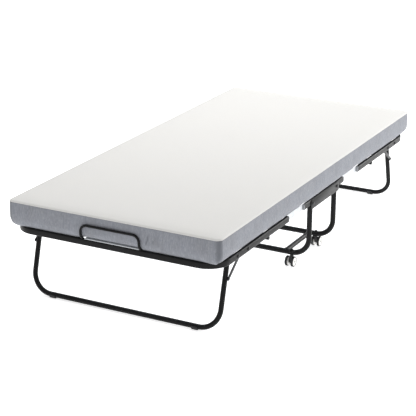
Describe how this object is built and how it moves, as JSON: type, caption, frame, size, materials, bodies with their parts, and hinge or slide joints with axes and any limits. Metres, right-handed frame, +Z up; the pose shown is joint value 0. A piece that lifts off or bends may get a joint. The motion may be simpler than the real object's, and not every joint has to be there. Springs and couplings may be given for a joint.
{
  "type": "rollaway bed",
  "caption": "Single folding guest bed: foam mattress on a steel frame that folds in half over a centre frame on casters, with folding end legs.",
  "frame": {"origin": "on the floor under the centre of the bed", "axes": "+X along the bed to the foot end, +Y to the left seen from the head end, +Z up"},
  "size_m": [1.923, 0.9, 0.4045],
  "materials": {
    "powder_coated_steel": "satin black powder coat",
    "black_hardware": "black zinc and enamel, semi-gloss",
    "foot_rubber": "matt moulded rubber",
    "wheel_plastic": "moulded white hub",
    "caster_plastic": "moulded black nylon",
    "deck_cloth": "white woven polypropylene",
    "mattress_top_fabric": "smooth white knit",
    "mattress_border_fabric": "heather grey knit"
  },
  "bodies": {
    "centre_frame": {"caster_loop_head": "powder_coated_steel", "caster_loop_foot": "powder_coated_steel", "centre_cross_tube": "powder_coated_steel", "centre_deck_cloth": "deck_cloth", "mattress_centre": "mattress_top_fabric", "centre_rail_left": "powder_coated_steel", "side_plate_left": "powder_coated_steel", "loop_tie_left": "powder_coated_steel", "hinge_bolt_head_left": "black_hardware", "hinge_bolt_foot_left": "black_hardware", "centre_rail_right": "powder_coated_steel", "side_plate_right": "powder_coated_steel", "loop_tie_right": "powder_coated_steel", "hinge_bolt_head_right": "black_hardware", "hinge_bolt_foot_right": "black_hardware"},
    "head_deck": {"head_rail": "powder_coated_steel", "head_cross_tube": "powder_coated_steel", "head_retainer": "powder_coated_steel", "head_deck_cloth": "deck_cloth", "mattress_head": "mattress_border_fabric", "head_hinge_arm_left": "powder_coated_steel", "head_leg_bolt_left": "black_hardware", "head_stay_guide_left": "black_hardware", "head_hinge_arm_right": "powder_coated_steel", "head_leg_bolt_right": "black_hardware", "head_stay_guide_right": "black_hardware"},
    "head_leg_frame": {"head_leg": "powder_coated_steel", "head_foot_pad_left": "foot_rubber", "head_foot_pad_right": "foot_rubber"},
    "head_stay_arm_left": {"head_stay_left": "black_hardware"},
    "head_stay_arm_right": {"head_stay_right": "black_hardware"},
    "caster_swivel_head_left": {"caster_head_left": "caster_plastic"},
    "roller_head_left_inner": {"wheel_head_left_inner": "wheel_plastic"},
    "roller_head_left_outer": {"wheel_head_left_outer": "wheel_plastic"},
    "caster_swivel_head_right": {"caster_head_right": "caster_plastic"},
    "roller_head_right_inner": {"wheel_head_right_inner": "wheel_plastic"},
    "roller_head_right_outer": {"wheel_head_right_outer": "wheel_plastic"},
    "foot_deck": {"foot_rail": "powder_coated_steel", "foot_cross_tube": "powder_coated_steel", "foot_retainer": "powder_coated_steel", "foot_deck_cloth": "deck_cloth", "mattress_foot": "mattress_border_fabric", "foot_hinge_arm_left": "powder_coated_steel", "foot_leg_bolt_left": "black_hardware", "foot_stay_guide_left": "black_hardware", "foot_hinge_arm_right": "powder_coated_steel", "foot_leg_bolt_right": "black_hardware", "foot_stay_guide_right": "black_hardware"},
    "foot_leg_frame": {"foot_leg": "powder_coated_steel", "foot_foot_pad_left": "foot_rubber", "foot_foot_pad_right": "foot_rubber"},
    "foot_stay_arm_left": {"foot_stay_left": "black_hardware"},
    "foot_stay_arm_right": {"foot_stay_right": "black_hardware"},
    "caster_swivel_foot_left": {"caster_foot_left": "caster_plastic"},
    "roller_foot_left_inner": {"wheel_foot_left_inner": "wheel_plastic"},
    "roller_foot_left_outer": {"wheel_foot_left_outer": "wheel_plastic"},
    "caster_swivel_foot_right": {"caster_foot_right": "caster_plastic"},
    "roller_foot_right_inner": {"wheel_foot_right_inner": "wheel_plastic"},
    "roller_foot_right_outer": {"wheel_foot_right_outer": "wheel_plastic"}
  },
  "joints": [
    {"name": "head_deck_fold", "type": "hinge", "parent": "centre_frame", "child": "head_deck", "pos_m": [-0.1234, 0, 0.283], "axis": [0, 1, 0], "range_deg": [0, 90]},
    {"name": "head_leg_fold", "type": "hinge", "parent": "head_deck", "child": "head_leg_frame", "pos_m": [-0.796, 0, 0.2885], "axis": [0, -1, 0], "range_deg": [0, 96]},
    {"name": "head_stay_fold_left", "type": "hinge", "parent": "head_leg_frame", "child": "head_stay_arm_left", "pos_m": [-0.8188, 0.4175, 0.20247], "axis": [0, 1, 0], "range_deg": [0, 127]},
    {"name": "caster_turn_head_left", "type": "hinge", "parent": "centre_frame", "child": "caster_swivel_head_left", "pos_m": [-0.1234, 0.357, 0.0457], "axis": [0, 0, 1], "continuous": true},
    {"name": "wheel_spin_head_left_inner", "type": "hinge", "parent": "caster_swivel_head_left", "child": "roller_head_left_inner", "pos_m": [-0.1324, 0.357, 0.021], "axis": [0, 1, 0], "continuous": true},
    {"name": "wheel_spin_head_left_outer", "type": "hinge", "parent": "caster_swivel_head_left", "child": "roller_head_left_outer", "pos_m": [-0.1324, 0.357, 0.021], "axis": [0, 1, 0], "continuous": true},
    {"name": "head_stay_fold_right", "type": "hinge", "parent": "head_leg_frame", "child": "head_stay_arm_right", "pos_m": [-0.8188, -0.4175, 0.20247], "axis": [0, 1, 0], "range_deg": [0, 127]},
    {"name": "caster_turn_head_right", "type": "hinge", "parent": "centre_frame", "child": "caster_swivel_head_right", "pos_m": [-0.1234, -0.357, 0.0457], "axis": [0, 0, 1], "continuous": true},
    {"name": "wheel_spin_head_right_inner", "type": "hinge", "parent": "caster_swivel_head_right", "child": "roller_head_right_inner", "pos_m": [-0.1324, -0.357, 0.021], "axis": [0, 1, 0], "continuous": true},
    {"name": "wheel_spin_head_right_outer", "type": "hinge", "parent": "caster_swivel_head_right", "child": "roller_head_right_outer", "pos_m": [-0.1324, -0.357, 0.021], "axis": [0, 1, 0], "continuous": true},
    {"name": "foot_deck_fold", "type": "hinge", "parent": "centre_frame", "child": "foot_deck", "pos_m": [0.1234, 0, 0.283], "axis": [0, -1, 0], "range_deg": [0, 90]},
    {"name": "foot_leg_fold", "type": "hinge", "parent": "foot_deck", "child": "foot_leg_frame", "pos_m": [0.796, 0, 0.2885], "axis": [0, 1, 0], "range_deg": [0, 96]},
    {"name": "foot_stay_fold_left", "type": "hinge", "parent": "foot_leg_frame", "child": "foot_stay_arm_left", "pos_m": [0.8188, 0.4175, 0.20247], "axis": [0, -1, 0], "range_deg": [0, 127]},
    {"name": "caster_turn_foot_left", "type": "hinge", "parent": "centre_frame", "child": "caster_swivel_foot_left", "pos_m": [0.1234, 0.357, 0.0457], "axis": [0, 0, 1], "continuous": true},
    {"name": "wheel_spin_foot_left_inner", "type": "hinge", "parent": "caster_swivel_foot_left", "child": "roller_foot_left_inner", "pos_m": [0.1324, 0.357, 0.021], "axis": [0, 1, 0], "continuous": true},
    {"name": "wheel_spin_foot_left_outer", "type": "hinge", "parent": "caster_swivel_foot_left", "child": "roller_foot_left_outer", "pos_m": [0.1324, 0.357, 0.021], "axis": [0, 1, 0], "continuous": true},
    {"name": "foot_stay_fold_right", "type": "hinge", "parent": "foot_leg_frame", "child": "foot_stay_arm_right", "pos_m": [0.8188, -0.4175, 0.20247], "axis": [0, -1, 0], "range_deg": [0, 127]},
    {"name": "caster_turn_foot_right", "type": "hinge", "parent": "centre_frame", "child": "caster_swivel_foot_right", "pos_m": [0.1234, -0.357, 0.0457], "axis": [0, 0, 1], "continuous": true},
    {"name": "wheel_spin_foot_right_inner", "type": "hinge", "parent": "caster_swivel_foot_right", "child": "roller_foot_right_inner", "pos_m": [0.1324, -0.357, 0.021], "axis": [0, 1, 0], "continuous": true},
    {"name": "wheel_spin_foot_right_outer", "type": "hinge", "parent": "caster_swivel_foot_right", "child": "roller_foot_right_outer", "pos_m": [0.1324, -0.357, 0.021], "axis": [0, 1, 0], "continuous": true}
  ],
  "couplings": [
    {"joint": "head_stay_fold_left", "follows": "head_leg_fold", "ratio": 1.3183},
    {"joint": "head_stay_fold_right", "follows": "head_leg_fold", "ratio": 1.3183},
    {"joint": "foot_stay_fold_left", "follows": "foot_leg_fold", "ratio": 1.3183},
    {"joint": "foot_stay_fold_right", "follows": "foot_leg_fold", "ratio": 1.3183}
  ]
}
